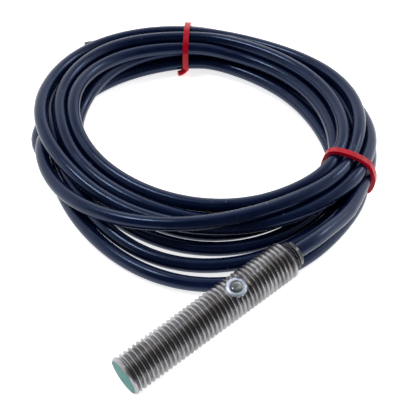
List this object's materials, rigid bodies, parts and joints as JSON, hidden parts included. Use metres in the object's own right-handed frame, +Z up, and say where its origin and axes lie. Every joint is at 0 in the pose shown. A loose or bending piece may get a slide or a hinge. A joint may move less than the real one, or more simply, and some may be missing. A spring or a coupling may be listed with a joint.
{
  "type": "inductive proximity sensor",
  "caption": "Short threaded cylindrical inductive proximity sensor with a flush green face, a lamp window and a coiled, tied connection cable.",
  "frame": {"origin": "on the surface the sensor rests on, below the middle of the sensor without its free cable", "axes": "+X along the barrel from the sensing face to the cable end, +Z up; the barrel leans up 5 degrees towards its rear, because it rests on the cable"},
  "size_m": [0.0904, 0.0941, 0.0114],
  "materials": {
    "plated_brass": "nickel-plated brass, turned thread",
    "face_plastic": "moulded thermoplastic, satin",
    "ferrite": "sintered ferrite",
    "bobbin_plastic": "moulded, satin",
    "winding_copper": "enamelled copper wire",
    "board_laminate": "glass-epoxy laminate with solder resist",
    "chip_package": "moulded epoxy",
    "capacitor_ceramic": "fired ceramic with tinned ends",
    "resistor_body": "glazed film with tinned ends",
    "lamp_package": "clear epoxy over a yellow die",
    "window_clear": "clear moulded plastic, polished",
    "sleeve_plastic": "extruded tube",
    "collar_plastic": "dark translucent moulding",
    "cable_jacket": "extruded PVC, semi-gloss",
    "wire_brown": "extruded PVC",
    "wire_blue": "extruded PVC",
    "wire_black": "extruded PVC",
    "tie_plastic": "moulded, semi-gloss"
  },
  "bodies": {
    "root": {"threaded_barrel": "plated_brass", "sensing_face": "face_plastic", "ferrite_core": "ferrite", "coil_bobbin": "bobbin_plastic", "coil_winding": "winding_copper", "circuit_board": "board_laminate", "oscillator_chip": "chip_package", "output_transistor": "chip_package", "reverse_diode": "chip_package", "surge_diode": "chip_package", "oscillator_capacitor": "capacitor_ceramic", "filter_capacitor": "capacitor_ceramic", "supply_capacitor": "capacitor_ceramic", "gain_resistor": "resistor_body", "trim_resistor": "resistor_body", "lamp_resistor": "resistor_body", "status_lamp": "lamp_package", "lamp_window": "window_clear", "insulating_sleeve": "sleeve_plastic", "rear_collar": "collar_plastic", "brown_wire": "wire_brown", "blue_wire": "wire_blue", "black_wire": "wire_black", "cable_exit": "cable_jacket", "cable_coil": "cable_jacket", "cable_tail": "cable_jacket", "tie_near_sensor": "tie_plastic", "tie_rear": "tie_plastic"}
  },
  "joints": []
}
